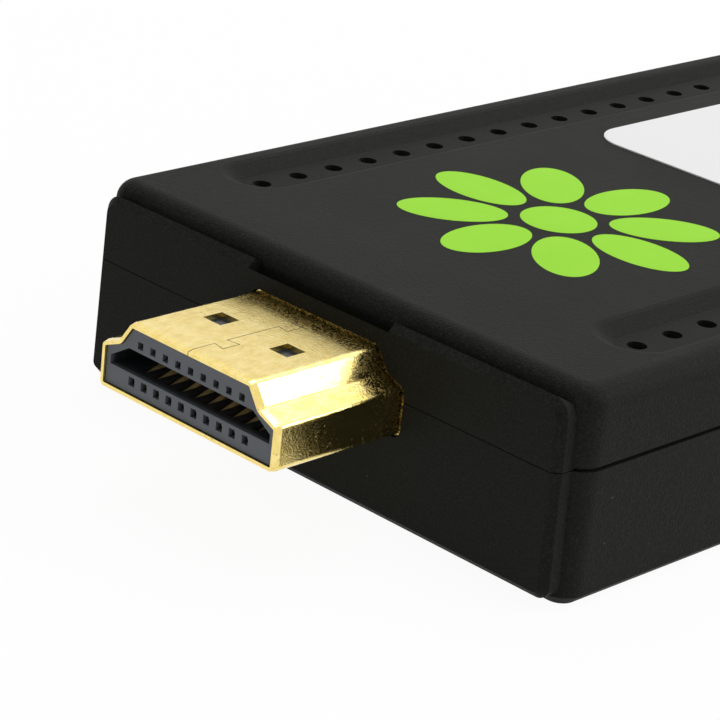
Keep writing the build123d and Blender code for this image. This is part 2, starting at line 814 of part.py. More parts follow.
processor_y = on_board((0, processor_place_share))[1]


with BuildPart() as processor:
    slab(-processor_size / 2, processor_size / 2, processor_y - processor_size / 2,
         processor_y + processor_size / 2, board_bottom - processor_height + processor_lid_height,
         board_bottom)
    slab(-processor_lid_size / 2, processor_lid_size / 2, processor_y - processor_lid_size / 2,
         processor_y + processor_lid_size / 2, board_bottom - processor_height,
         board_bottom - processor_height + processor_lid_height)
    chamfer(processor.faces().sort_by(Axis.Z)[0].edges(), chip_edge_chamfer)
processor.part.label = "processor"

with BuildPart() as memory_chips:
    for x in (-memory_pitch_across / 2, memory_pitch_across / 2):
        for y in (processor_y - memory_pitch_along / 2, processor_y + memory_pitch_along / 2):
            chip(x, y, memory_width, memory_length, memory_height)
memory_chips.part.label = "memory_chips"

with BuildPart() as flash_chip:
    chip(*on_board(flash_place_shares), flash_width, flash_length, flash_height)
flash_chip.part.label = "flash_chip"

with BuildPart() as power_chip:
    chip(*on_board(power_chip_place_shares), power_chip_size, power_chip_size, power_chip_height)
power_chip.part.label = "power_chip"


# Cooling: a soft pad on the processor's lid and a finned heat sink that hangs under it
pad_sheet_top = board_bottom - processor_height
sink_top = pad_sheet_top - pad_sheet_thickness
fin_bottom = floor + sink_floor_clearance

with BuildPart() as thermal_pad:
    with BuildSketch(Plane.XY.offset(sink_top)):
        with Locations((0, processor_y)):
            Rectangle(pad_sheet_size, pad_sheet_size)
    extrude(amount=pad_sheet_thickness)
thermal_pad.part.label = "thermal_pad"

with BuildPart() as heat_sink:
    with BuildSketch(Plane.XY.offset(sink_top)):
        with Locations((0, processor_y)):
            Rectangle(sink_size, sink_size)
    extrude(amount=-sink_base)
    fin_spacing = (sink_size - sink_fin_thickness) / (sink_fin_count - 1)
    with BuildSketch(Plane.XY.offset(sink_top - sink_base)):
        with Locations((0, processor_y)):
            with GridLocations(fin_spacing, 0, sink_fin_count, 1):
                Rectangle(sink_fin_thickness, sink_size)
    extrude(amount=-(sink_top - sink_base - fin_bottom), taper=sink_fin_draft)
heat_sink.part.label = "heat_sink"


# Small parts on the board
def blocks(size, place_shares, level, up):
    """Equal blocks on the board's top, or under it where up is -1."""
    width, length, height = size
    for x, y in map(on_board, place_shares):
        low, high = sorted((level, level + up * height))
        slab(x - width / 2, x + width / 2, y - length / 2, y + length / 2, low, high)


with BuildPart() as power_inductors:
    with BuildSketch(Plane.XY.offset(board_bottom)) as inductor_outlines:
        with Locations((inductor_row_share * board_half_width, board_front + inductor_from_board_front)):
            with GridLocations(inductor_pitch, 0, inductor_count, 1):
                Rectangle(inductor_size, inductor_size)
        chamfer(inductor_outlines.vertices(), inductor_corner)
    extrude(amount=-inductor_height)
power_inductors.part.label = "power_inductors"

with BuildPart() as tantalum_capacitors:
    blocks(tantalum_size, tantalum_place_shares, board_bottom, -1)
tantalum_capacitors.part.label = "tantalum_capacitors"

with BuildPart() as ceramic_capacitors:
    blocks(ceramic_size, ceramic_place_shares, board_top, 1)
ceramic_capacitors.part.label = "ceramic_capacitors"

with BuildPart() as crystals:
    with BuildSketch(Plane.XY.offset(board_top)) as crystal_outlines:
        with Locations(*map(on_board, crystal_place_shares)):
            Rectangle(crystal_size[0], crystal_size[1])
        chamfer(crystal_outlines.vertices(), crystal_corner)
    extrude(amount=crystal_size[2])
crystals.part.label = "crystals"

with BuildPart() as wireless_module:
    module_x, module_y = on_board(module_place_shares)
    module_half = module_size / 2
    slab(module_x - module_half, module_x + module_half, module_y - module_half, module_y + module_half,
         board_top, board_top + module_board)
    can_half = module_half - module_can_inset
    slab(module_x - can_half, module_x + can_half, module_y - can_half, module_y + can_half,
         board_top + module_board, board_top + module_board + module_can_height)
    chamfer(wireless_module.faces().sort_by(Axis.Z)[-1].edges(), chip_edge_chamfer)
wireless_module.part.label = "wireless_module"

with BuildPart() as antenna:
    antenna_y = board_rear - antenna_from_board_rear
    antenna_left = antenna_middle_share * board_half_width - antenna_length / 2
    slab(antenna_left, antenna_left + antenna_length, antenna_y - antenna_width / 2,
         antenna_y + antenna_width / 2, board_top + antenna_height - antenna_sheet,
         board_top + antenna_height)
    for x in (antenna_left, antenna_left + antenna_feed_from_end):
        slab(x, x + antenna_leg_width, antenna_y - antenna_width / 2,
             antenna_y - antenna_width / 2 + antenna_sheet, board_top,
             board_top + antenna_height - antenna_sheet)
antenna.part.label = "antenna"

with BuildPart() as board_screws:
    for radius, length in ((screw_head_diameter / 2, screw_head_height), (screw_diameter / 2, -screw_length)):
        with BuildSketch(Plane.XY.offset(board_top)) as screw_outlines:
            with Locations(*screw_places):
                small_round(radius)
        extrude(screw_outlines.sketch, amount=length)
    with Locations(*[(x, y, board_top + screw_head_height) for x, y in screw_places]):
        Box(screw_recess_length, screw_recess_width, 2 * screw_recess_depth, mode=Mode.SUBTRACT)
        Box(screw_recess_width, screw_recess_length, 2 * screw_recess_depth, mode=Mode.SUBTRACT)
board_screws.part.label = "board_screws"


# Host socket: folded metal shell with spring fingers, tongue and four contacts
def host_fingers():
    """Three-sided slits that leave spring fingers in the shell's upper and lower sheets."""
    width = host_finger_width + 2 * host_finger_gap
    start = host_mouth - host_finger_from_mouth
    for z in (host_bottom, board_bottom - host_sheet):
        for x in (-host_finger_from_middle, host_finger_from_middle):
            slab(x - width / 2, x + width / 2, start - host_finger_gap, start, z, z + host_sheet,
                 Mode.SUBTRACT)
            for edge in (x - width / 2, x + width / 2 - host_finger_gap):
                slab(edge, edge + host_finger_gap, start - host_finger_length, start, z, z + host_sheet,
                     Mode.SUBTRACT)


with BuildPart() as usb_host_shell:
    with BuildSketch(across(host_back)):
        with Locations((0, host_bottom + host_height / 2)):
            RectangleRounded(host_width, host_height, host_corner_radius)
            RectangleRounded(host_width - 2 * host_sheet, host_height - 2 * host_sheet,
                             host_corner_radius - host_sheet, mode=Mode.SUBTRACT)
    extrude(amount=-host_length)
    host_fingers()
    for x in (-host_width / 2, host_width / 2 - host_sheet):
        for y in host_legs:
            slab(x, x + host_sheet, y - host_leg_width / 2, y + host_leg_width / 2,
                 board_bottom - host_corner_radius, board_top + host_sheet)
usb_host_shell.part.label = "usb_host_shell"

tongue_bottom = host_bottom + host_sheet + host_tongue_from_shell
tongue_top = tongue_bottom + host_tongue_thickness
host_block_front = host_back + host_block_length

with BuildPart() as usb_host_tongue:
    inner_half = host_width / 2 - host_sheet - host_fit
    with BuildSketch(across(host_back)) as block_outline:
        with Locations((0, host_bottom + host_height / 2)):
            Rectangle(2 * inner_half, host_height - 2 * host_sheet - 2 * host_fit)
        chamfer(block_outline.vertices(), host_sheet)
    extrude(amount=-host_block_length)
    slab(-host_tongue_width / 2, host_tongue_width / 2, host_block_front, host_mouth - host_tongue_recess,
         tongue_bottom, tongue_top)
    chamfer(usb_host_tongue.faces().sort_by(Axis.Y)[-1].edges(), chip_edge_chamfer)
    for x in host_contact_row:
        half = host_contact_width / 2 + host_fit
        slab(x - half, x + half, host_back, host_block_front, tongue_top,
             tongue_top + host_contact_thickness + host_fit, Mode.SUBTRACT)
usb_host_tongue.part.label = "usb_host_tongue"

with BuildPart() as usb_host_contacts:
    for x in host_contact_row:
        slab(x - host_contact_width / 2, x + host_contact_width / 2, host_back - host_contact_thickness,
             host_mouth - host_tongue_recess - host_contact_from_tip, tongue_top,
             tongue_top + host_contact_thickness)
        slab(x - host_contact_width / 2, x + host_contact_width / 2, host_back - host_contact_thickness,
             host_back, tongue_top + host_contact_thickness, board_bottom)
usb_host_contacts.part.label = "usb_host_contacts"


# Small sockets: bevelled metal shell, tongue and five contacts
def micro_shell(place):
    with BuildPart() as shell:
        with BuildSketch(micro_plane(micro_back, place)):
            add(micro_outline(0))
            add(micro_outline(-micro_sheet), mode=Mode.SUBTRACT)
        extrude(amount=micro_length)
    return shell.part


def micro_tongue(place):
    with BuildPart() as tongue:
        with BuildSketch(micro_plane(micro_back, place)):
            add(micro_outline(-micro_sheet - micro_fit))
        extrude(amount=micro_block_length)
        low = micro_bottom + micro_sheet + micro_tongue_from_floor
        slab(micro_back + micro_block_length, micro_back + micro_block_length + micro_tongue_reach,
             place - micro_tongue_width / 2, place + micro_tongue_width / 2, low,
             low + micro_tongue_thickness)
        for y in micro_contact_row(place):
            half = micro_contact_width / 2 + micro_fit
            slab(micro_back, micro_back + micro_block_length, y - half, y + half,
                 low + micro_tongue_thickness,
                 low + micro_tongue_thickness + micro_contact_thickness + micro_fit, Mode.SUBTRACT)
    return tongue.part


def micro_contact_row(place):
    first = place - micro_contact_pitch * (micro_contact_count - 1) / 2
    return [first + micro_contact_pitch * i for i in range(micro_contact_count)]


def micro_contacts(place):
    with BuildPart() as contacts:
        level = micro_bottom + micro_sheet + micro_tongue_from_floor + micro_tongue_thickness
        end = micro_back + micro_block_length + micro_tongue_reach - micro_contact_from_tip
        for y in micro_contact_row(place):
            slab(micro_back - micro_contact_thickness, end, y - micro_contact_width / 2,
                 y + micro_contact_width / 2, level, level + micro_contact_thickness)
            slab(micro_back - micro_contact_thickness, micro_back, y - micro_contact_width / 2,
                 y + micro_contact_width / 2, level + micro_contact_thickness, board_bottom)
    return contacts.part


small_sockets = {}
for socket_name, socket_place in (("otg_port", otg_port_place), ("power_port", power_port_place)):
    small_sockets[socket_name + "_shell"] = micro_shell(socket_place)
    small_sockets[socket_name + "_tongue"] = micro_tongue(socket_place)
    small_sockets[socket_name + "_contacts"] = micro_contacts(socket_place)


# Card socket: moulded base under the board, sheet cover, eight contacts and the push-push slider
with BuildPart() as card_socket_base:
    slab(card_mouth, card_back, card_low_side - card_rail_width, card_bay_end + card_rail_width, card_floor,
         board_bottom)
    slab(card_mouth - overrun, card_back - card_rear_wall, card_low_side, card_high_side,
         card_floor - overrun, card_roof, Mode.SUBTRACT)
    slab(card_mouth + card_rear_wall, card_back - card_rear_wall, card_high_side - overrun, card_bay_end,
         card_floor - overrun, card_roof, Mode.SUBTRACT)
    window_end = card_back - card_contact_from_rear
    for i in range(card_contact_count):
        y = card_socket_place + card_contact_pitch * (i - (card_contact_count - 1) / 2)
        half = card_contact_width / 2 + card_slider_clearance
        slab(window_end - card_contact_length, card_back + overrun, y - half, y + half, card_roof,
             card_roof + card_contact_thickness + card_slider_clearance, Mode.SUBTRACT)
card_socket_base.part.label = "card_socket_base"

with BuildPart() as card_socket_cover:
    slab(card_mouth, card_back, card_low_side - card_rail_width, card_bay_end + card_rail_width,
         card_floor - card_cover_sheet, card_floor)
    slab(card_mouth + card_rear_wall, card_mouth + card_rear_wall + card_window_length,
         card_socket_place - card_window_width / 2, card_socket_place + card_window_width / 2,
         card_floor - card_cover_sheet, card_floor, Mode.SUBTRACT)
    for y in (card_low_side - card_rail_width - card_cover_sheet, card_bay_end + card_rail_width):
        slab(card_mouth, card_back, y, y + card_cover_sheet, card_floor - card_cover_sheet, board_bottom)
    bends = card_socket_cover.edges().filter_by(Axis.X).group_by(Axis.Z)[0]
    outer_bends = bends.filter_by(lambda e: e.center().Y < card_low_side or e.center().Y > card_bay_end)
    fillet(outer_bends, card_cover_sheet)
card_socket_cover.part.label = "card_socket_cover"

with BuildPart() as card_socket_contacts:
    for i in range(card_contact_count):
        y = card_socket_place + card_contact_pitch * (i - (card_contact_count - 1) / 2)
        root = card_back - card_contact_from_rear
        free = root - card_contact_length + card_slider_clearance
        with BuildSketch(Plane.XZ.offset(-(y - card_contact_width / 2))):
            with BuildLine():
                Polyline((card_back + card_contact_thickness, card_roof + card_contact_thickness),
                         (root, card_roof + card_contact_thickness),
                         (free + card_contact_drop, card_roof + card_contact_thickness - card_contact_drop),
                         (free, card_roof - card_contact_drop / 2),
                         (free, card_roof - card_contact_drop / 2 - card_contact_thickness),
                         (free + card_contact_drop, card_roof - card_contact_drop), (root, card_roof),
                         (card_back, card_roof), (card_back, card_roof + card_contact_thickness / 2),
                         (card_back + card_contact_thickness, card_roof + card_contact_thickness / 2),
                         close=True)
            make_face()
        extrude(amount=-card_contact_width)
        slab(card_back, card_back + card_contact_thickness, y - card_contact_width / 2,
             y + card_contact_width / 2, card_roof + card_contact_thickness / 2, board_bottom)
card_socket_contacts.part.label = "card_socket_contacts"

with BuildPart() as card_slider:
    slider_start = card_mouth + card_slider_start
    slider_low = card_floor + card_slider_clearance
    slider_high = card_roof - card_slider_clearance
    slab(slider_start, slider_start + card_slider_length, card_high_side + card_slider_clearance,
         card_bay_end - card_slider_clearance, slider_low, slider_high)
    slab(slider_start + card_slider_length - card_lug_length, slider_start + card_slider_length,
         card_high_side - card_lug_reach, card_high_side + card_slider_clearance, slider_low, slider_high)
    with BuildSketch(Plane.XY.offset(slider_low)):
        with Locations((slider_start + card_cam_place_share * card_slider_length,
                        (card_high_side + card_bay_end) / 2)):
            cam_size = card_cam_width_share * card_bay_width
            Rectangle(cam_size, cam_size, rotation=45)
            Rectangle(card_cam_heart_share * cam_size, card_cam_heart_share * cam_size, rotation=45,
                      mode=Mode.SUBTRACT)
    extrude(amount=card_cam_depth_share * card_path_height, mode=Mode.SUBTRACT)
card_slider.part.label = "card_slider"


# Reset switch: moulded base under the board, sheet cover and the button that a pin pushes in
with BuildPart() as reset_switch_base:
    slab(switch_front, switch_back, switch_place - switch_width / 2, switch_place + switch_width / 2,
         switch_bottom, board_bottom)
    pocket_front = switch_front + switch_front_wall
    button_low = button_middle_height - button_height / 2 - button_clearance
    slab(pocket_front, pocket_front + switch_pocket_depth, switch_place - switch_pocket_width / 2,
         switch_place + switch_pocket_width / 2, button_low,
         button_low + button_height + 2 * button_clearance, Mode.SUBTRACT)
    slab(switch_front - overrun, pocket_front, switch_place - button_width / 2 - button_clearance,
         switch_place + button_width / 2 + button_clearance, button_low,
         button_low + button_height + 2 * button_clearance, Mode.SUBTRACT)
reset_switch_base.part.label = "reset_switch_base"

with BuildPart() as reset_switch_cover:
    slab(switch_front, switch_back, switch_place - switch_width / 2 - switch_cover_sheet,
         switch_place + switch_width / 2 + switch_cover_sheet, switch_bottom - switch_cover_sheet,
         switch_bottom)
    for y in (switch_place - switch_width / 2 - switch_cover_sheet, switch_place + switch_width / 2):
        slab(switch_front, switch_back, y, y + switch_cover_sheet, switch_bottom, board_bottom)
reset_switch_cover.part.label = "reset_switch_cover"

with BuildPart() as reset_button:
    button_low = button_middle_height - button_height / 2
    slab(switch_front - button_reach, pocket_front + button_clearance, switch_place - button_width / 2,
         switch_place + button_width / 2, button_low, button_low + button_height)
    slab(pocket_front + button_clearance, pocket_front + button_clearance + button_shoulder_depth,
         switch_place - button_shoulder_width / 2, switch_place + button_shoulder_width / 2,
         button_low, button_low + button_height)
    chamfer(reset_button.faces().sort_by(Axis.X)[0].edges(), chip_edge_chamfer)
reset_button.part.label = "reset_button"


# Status light: side-facing lamp on the board and the clear pipe that carries its light to the rear wall
with BuildPart() as light_pipe:
    with BuildSketch(across(inner_rear - light_pipe_flange_length)):
        with Locations((light_from_middle, light_height)):
            small_round(light_pipe_flange / 2)
    extrude(amount=-light_pipe_flange_length)
    with BuildSketch(across(inner_rear)):
        with Locations((light_from_middle, light_height)):
            small_round(light_pipe_diameter / 2)
    extrude(amount=-wall)
light_pipe.part.label = "light_pipe"

with BuildPart() as status_led:
    led_width, led_depth, led_height = led_size
    lens_width, lens_depth, lens_height = led_lens_size
    led_rear = board_rear - lens_depth
    slab(light_from_middle - led_width / 2, light_from_middle + led_width / 2, led_rear - led_depth, led_rear,
         board_top, board_top + led_height)
    slab(light_from_middle - lens_width / 2, light_from_middle + lens_width / 2, led_rear,
         led_rear + lens_depth, board_top + (led_height - lens_height) / 2,
         board_top + (led_height + lens_height) / 2)
status_led.part.label = "status_led"


# Files, one for each piece
pieces = [upper_shell, lower_shell, plug_shell, plug_insulator, plug_contacts_upper, plug_contacts_lower,
          main_board, processor, memory_chips, flash_chip, power_chip, thermal_pad, heat_sink,
          power_inductors, tantalum_capacitors, ceramic_capacitors, crystals, wireless_module, antenna,
          board_screws, usb_host_shell, usb_host_tongue, usb_host_contacts, card_socket_base,
          card_socket_cover, card_socket_contacts, card_slider, reset_switch_base, reset_switch_cover,
          reset_button, status_led, light_pipe]
os.makedirs("parts", exist_ok=True)
for piece in pieces:
    export_step(piece.part, f"parts/{piece.part.label}.step")
for socket_name, socket_part in small_sockets.items():
    socket_part.label = socket_name
    export_step(socket_part, f"parts/{socket_name}.step")
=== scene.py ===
import math

import bmesh
import bpy
from mathutils import Matrix, Vector


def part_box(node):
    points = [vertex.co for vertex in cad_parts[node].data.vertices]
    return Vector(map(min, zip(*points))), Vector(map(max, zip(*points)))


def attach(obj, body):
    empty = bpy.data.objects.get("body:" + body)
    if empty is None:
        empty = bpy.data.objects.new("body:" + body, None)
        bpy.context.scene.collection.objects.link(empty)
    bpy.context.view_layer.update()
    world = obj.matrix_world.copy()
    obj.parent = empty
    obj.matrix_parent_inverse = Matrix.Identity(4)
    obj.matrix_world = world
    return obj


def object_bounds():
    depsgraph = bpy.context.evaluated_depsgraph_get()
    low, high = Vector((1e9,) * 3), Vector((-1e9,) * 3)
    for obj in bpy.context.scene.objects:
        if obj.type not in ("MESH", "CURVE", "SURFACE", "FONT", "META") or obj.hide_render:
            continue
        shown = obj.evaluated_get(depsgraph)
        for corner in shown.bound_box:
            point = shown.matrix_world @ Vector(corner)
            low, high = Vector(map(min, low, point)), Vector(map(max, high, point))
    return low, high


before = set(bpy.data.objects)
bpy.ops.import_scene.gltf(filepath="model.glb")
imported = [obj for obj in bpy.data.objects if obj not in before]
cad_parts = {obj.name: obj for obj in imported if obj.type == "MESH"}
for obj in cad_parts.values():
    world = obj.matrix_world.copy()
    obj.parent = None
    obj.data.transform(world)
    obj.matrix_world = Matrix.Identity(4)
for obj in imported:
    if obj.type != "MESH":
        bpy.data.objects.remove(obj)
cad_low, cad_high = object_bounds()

# Stick computer: finishes, print, label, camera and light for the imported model.
# Blender works in metres; sizes below are written in millimetres and multiplied by MM.
MM = 0.001

# Places read from the frame
roof_low, roof_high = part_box("upper_shell")
roof_level = roof_high.z
case_front = roof_low.y
insulator_low, insulator_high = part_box("plug_insulator")
insulator_face = insulator_low.y
insulator_top = insulator_high.z


# Shader arithmetic
class Value:
    """A socket's value. Arithmetic on it adds Math nodes."""

    def __init__(self, nodes, socket):
        self.nodes = nodes
        self.socket = socket

    def combine(self, operation, first, second):
        return self.nodes.node("ShaderNodeMath", {"operation": operation}, {0: first, 1: second})

    def __add__(self, other):
        return self.combine("ADD", self, other)

    def __mul__(self, other):
        return self.combine("MULTIPLY", self, other)

    __radd__ = __add__
    __rmul__ = __mul__


class Nodes:
    """A node tree that is being filled."""

    def __init__(self, tree):
        self.tree = tree

    def node(self, kind, settings, values, output=0):
        """Adds a node: its settings first, then the values or links of its sockets."""
        made = self.tree.nodes.new(kind)
        for setting, value in settings.items():
            setattr(made, setting, value)
        for socket, value in values.items():
            self.feed(made.inputs[socket], value)
        return Value(self, made.outputs[output]) if made.outputs else None

    def feed(self, socket, value):
        if isinstance(value, Value):
            self.tree.links.new(value.socket, socket)
        else:
            socket.default_value = value

    def blend(self, factor, first, second):
        """Mixes two colours."""
        return self.node("ShaderNodeMix", {"data_type": "RGBA"}, {0: factor, 6: first, 7: second}, 2)


class Finish(Nodes):
    """A material around one Principled shader, patterned on Object coordinates."""

    def __init__(self, name, **constants):
        self.material = bpy.data.materials.new(name)
        self.material.use_nodes = True
        super().__init__(self.material.node_tree)
        self.shader = self.tree.nodes["Principled BSDF"]
        for socket, value in constants.items():
            self.feed(self.shader.inputs[socket.replace("_", " ")], value)
        self.place = self.node("ShaderNodeTexCoord", {}, {}, "Object")

    def along(self, stretch):
        """The place, squeezed by a factor along each axis, which draws a pattern out along the others."""
        return self.node("ShaderNodeVectorMath", {"operation": "MULTIPLY"}, {0: self.place, 1: stretch})

    def noise(self, size, detail=2.0, stretch=(1, 1, 1), roughness=0.5):
        """Cloudy noise from 0 to 1 with features of a size in millimetres."""
        return self.node("ShaderNodeTexNoise", {}, {"Vector": self.along(stretch), "Scale": 1 / (size * MM),
                                                    "Detail": detail, "Roughness": roughness}, "Fac")

    def cells(self, size):
        """Distance to the nearest of scattered points, with cells of a size in millimetres."""
        return self.node("ShaderNodeTexVoronoi", {},
                         {"Vector": self.along((1, 1, 1)), "Scale": 1 / (size * MM)}, "Distance")

    def ramp(self, factor, low, high):
        """0 below one value of the factor, 1 above another, and a smooth rise between."""
        return self.node("ShaderNodeMapRange", {"interpolation_type": "SMOOTHSTEP"},
                         {"Value": factor, "From Min": low, "From Max": high, "To Min": 0.0, "To Max": 1.0})

    def coordinate(self, axis):
        return self.node("ShaderNodeSeparateXYZ", {}, {0: self.place}, axis)

    def colour(self, value):
        self.feed(self.shader.inputs["Base Color"], value)

    def rough(self, value):
        self.feed(self.shader.inputs["Roughness"], value)

    def bump(self, height, depth, strength):
        """Raises the surface by a height from 0 to 1 times a depth in millimetres."""
        raised = self.node("ShaderNodeBump", {},
                           {"Height": height, "Distance": depth * MM, "Strength": strength}, "Normal")
        self.feed(self.shader.inputs["Normal"], raised)


def grey(level, warmth=0.0):
    """A linear grey, warmer or cooler by a small amount."""
    return (level * (1 + warmth), level, level * (1 - warmth), 1)


# Finishes of the case
def case_plastic():
    """Near-black moulded plastic with a fine grain, which shows mostly its soft sheen."""
    made = Finish("case_plastic", Specular_IOR_Level=0.055)
    grain = made.noise(0.13, detail=3.0)
    cloud = made.noise(6.0, detail=4.0)
    dust = made.ramp(made.cells(1.3), 0.07, 0.03) * made.ramp(made.noise(4.0), 0.58, 0.66)
    body = made.blend(cloud, (0.0082, 0.0089, 0.0074, 1), (0.0144, 0.0153, 0.0125, 1))
    speckled = made.blend(made.ramp(grain, 0.40, 0.75) * 0.6, body, (0.029, 0.029, 0.023, 1))
    made.colour(made.blend(dust * 0.35, speckled, grey(0.16, 0.02)))
    made.rough(0.40 + 0.22 * grain + 0.16 * cloud)
    made.bump(grain + 0.35 * made.noise(0.45, detail=2.0), depth=0.05, strength=0.9)
    return made.material


def print_ink():
    made = Finish("print_ink", Specular_IOR_Level=0.08)
    cover = made.noise(0.3, detail=3.0)
    made.colour(made.blend(made.noise(3.0), (0.290, 0.670, 0.026, 1), (0.325, 0.715, 0.038, 1)))
    made.rough(0.42 + 0.12 * cover)
    made.bump(made.noise(0.14, detail=3.0), depth=0.015, strength=0.6)
    return made.material


def label_film():
    made = Finish("label_film", Specular_IOR_Level=0.4)
    fibre = made.noise(0.5, detail=4.0, stretch=(1, 4, 1))
    made.colour(made.blend(fibre, grey(0.745, -0.004), grey(0.805, 0.002)))
    made.rough(0.38 + 0.10 * fibre)
    made.bump(made.noise(1.6, detail=3.0), depth=0.012, strength=0.5)
    return made.material


# Finishes of the plug
def gold_plating():
    """Bright gold over drawn sheet: fine sand, a faint mottle, and dark speckles at random that grow denser
    towards the case as a painted reflection of the dark case.
    """
    made = Finish("gold_plating", Metallic=1.0)
    mottle = made.noise(0.6, detail=4.0, stretch=(1, 0.6, 1), roughness=0.6)
    sand = made.noise(0.10, detail=3.0, stretch=(1, 0.7, 1), roughness=0.7)
    # Painted reflection: more dark speckles towards the case stand in for the dark case mirrored in the
    # gold; the rest are random wear.
    painted_case_reflection = made.ramp(made.coordinate("Y"), case_front - 3.4 * MM, case_front - 0.2 * MM)
    patches = made.ramp(made.noise(1.6), 0.50, 0.62)
    fine = made.noise(0.13, detail=4.0, stretch=(1, 0.7, 1), roughness=0.7)
    flecks_and_painted_reflection = made.ramp(fine + 0.08 * patches + 0.20 * painted_case_reflection, 0.68, 0.76)
    plate = made.blend(made.ramp(mottle, 0.25, 0.75), (0.86, 0.65, 0.19, 1), (0.97, 0.79, 0.32, 1))
    made.colour(made.blend(flecks_and_painted_reflection * 0.8, plate, (0.20, 0.12, 0.02, 1)))
    made.rough(0.04 + 0.05 * mottle + 0.25 * flecks_and_painted_reflection)
    made.bump(mottle * 0.35 + sand * 1.3 + 0.2 * flecks_and_painted_reflection, depth=0.012, strength=1.0)
    return made.material


def contact_gold():
    made = Finish("contact_gold", Metallic=0.7)
    wipe = made.noise(0.12, detail=3.0, stretch=(1, 0.1, 1))
    made.colour(made.blend(wipe, (0.88, 0.64, 0.27, 1), (0.98, 0.79, 0.42, 1)))
    made.rough(0.34 + 0.18 * wipe)
    made.bump(wipe, depth=0.004, strength=0.4)
    return made.material


def insulator_plastic():
    """Satin blue-grey plastic, with painted shade that darkens it deep in the slot and the contact
    channels.
    """
    made = Finish("insulator_plastic", Specular_IOR_Level=0.5)
    flow = made.noise(0.8, detail=4.0, stretch=(0.4, 1, 1))
    grain = made.noise(0.07, detail=2.0)
    # Painted shade: the plastic lying further back than the slot's face and lower than its top is coloured
    # near black.
    painted_slot_shade = made.ramp(made.coordinate("Y"), insulator_face + 0.10 * MM, insulator_face + 0.45 * MM)
    painted_slot_shade = painted_slot_shade * made.ramp(made.coordinate("Z"), insulator_top - 0.25 * MM, insulator_top - 0.45 * MM)
    face = made.blend(flow, (0.072, 0.081, 0.094, 1), (0.112, 0.124, 0.138, 1))
    made.colour(made.blend(painted_slot_shade * 0.85, face, (0.010, 0.011, 0.013, 1)))
    made.rough(0.36 + 0.14 * grain + 0.10 * flow)
    made.bump(grain, depth=0.010, strength=0.5)
    return made.material


# Finishes of the board and what it carries
def solder_mask():
    """Dark green lacquer over copper, with the tracks' slight relief."""
    made = Finish("solder_mask", Coat_Weight=0.4, Coat_Roughness=0.15)
    tracks = made.node("ShaderNodeTexBrick", {"offset": 0.5, "squash": 1.0},
                       {"Vector": made.along((1, 1, 0)), "Scale": 1 / (3.0 * MM), "Mortar Size": 0.06,
                        "Color1": grey(0.0), "Color2": grey(0.1), "Mortar": grey(1.0)}, "Color")
    lines = made.node("ShaderNodeSeparateColor", {}, {0: tracks}, 0)
    shade = lines * 0.6 + 0.2 * made.noise(4.0)
    made.colour(made.blend(shade, (0.006, 0.050, 0.024, 1), (0.020, 0.120, 0.050, 1)))
    made.rough(0.30 + 0.15 * made.noise(0.4))
    made.bump(lines, depth=0.03, strength=0.6)
    return made.material


def chip_epoxy():
    made = Finish("chip_epoxy")
    sand = made.noise(0.08, detail=3.0)
    made.colour(made.blend(sand, grey(0.014), grey(0.030)))
    made.rough(0.5 + 0.2 * sand)
    made.bump(sand, depth=0.012, strength=0.6)
    return made.material


def soft_pad():
    made = Finish("soft_pad")
    fill = made.noise(0.5, detail=4.0)
    made.colour(made.blend(fill, (0.20, 0.26, 0.34, 1), (0.28, 0.35, 0.44, 1)))
    made.rough(0.7 + 0.15 * fill)
    made.bump(fill, depth=0.03, strength=0.5)
    return made.material


def milled_aluminium():
    made = Finish("milled_aluminium", Metallic=1.0)
    lines = made.noise(0.10, detail=3.0, stretch=(1, 0.05, 1))
    made.colour(made.blend(lines, grey(0.52), grey(0.68)))
    made.rough(0.32 + 0.16 * lines)
    made.bump(lines, depth=0.01, strength=0.5)
    return made.material


def socket_steel():
    """Nickel-plated sheet with rolling lines and faint stains."""
    made = Finish("socket_steel", Metallic=1.0)
    rolled = made.noise(0.12, detail=3.0, stretch=(1, 0.06, 1))
    stain = made.noise(2.2, detail=4.0)
    made.colour(made.blend(made.ramp(stain, 0.3, 0.8), grey(0.50, 0.02), grey(0.66, 0.01)))
    made.rough(0.20 + 0.14 * rolled + 0.10 * stain)
    made.bump(rolled, depth=0.005, strength=0.5)
    return made.material


def screw_zinc():
    made = Finish("screw_zinc", Metallic=1.0)
    passivated = made.noise(0.5, detail=3.0)
    made.colour(made.blend(passivated, (0.42, 0.44, 0.48, 1), (0.60, 0.58, 0.52, 1)))
    made.rough(0.28 + 0.16 * passivated)
    made.bump(made.noise(0.12), depth=0.008, strength=0.5)
    return made.material


def black_nylon():
    made = Finish("black_nylon")
    grain = made.noise(0.09, detail=2.0)
    flow = made.noise(1.5, detail=3.0, stretch=(0.4, 1, 1))
    made.colour(made.blend(flow, grey(0.012), grey(0.024)))
    made.rough(0.38 + 0.18 * grain)
    made.bump(grain, depth=0.012, strength=0.6)
    return made.material


def pale_nylon():
    made = Finish("pale_nylon", Subsurface_Weight=0.1)
    grain = made.noise(0.10, detail=2.0)
    made.colour(made.blend(made.noise(1.0, detail=3.0), (0.62, 0.60, 0.54, 1), (0.72, 0.70, 0.64, 1)))
    made.rough(0.36 + 0.16 * grain)
    made.bump(grain, depth=0.010, strength=0.5)
    return made.material


def ferrite():
    made = Finish("ferrite")
    powder = made.noise(0.10, detail=4.0)
    made.colour(made.blend(powder, grey(0.045, 0.03), grey(0.085, 0.02)))
    made.rough(0.55 + 0.2 * powder)
    made.bump(powder, depth=0.02, strength=0.7)
    return made.material


def tantalum_case():
    made = Finish("tantalum_case")
    flow = made.noise(0.6, detail=3.0)
    made.colour(made.blend(flow, (0.62, 0.33, 0.04, 1), (0.74, 0.43, 0.07, 1)))
    made.rough(0.4 + 0.15 * flow)
    made.bump(made.noise(0.12), depth=0.01, strength=0.5)
    return made.material


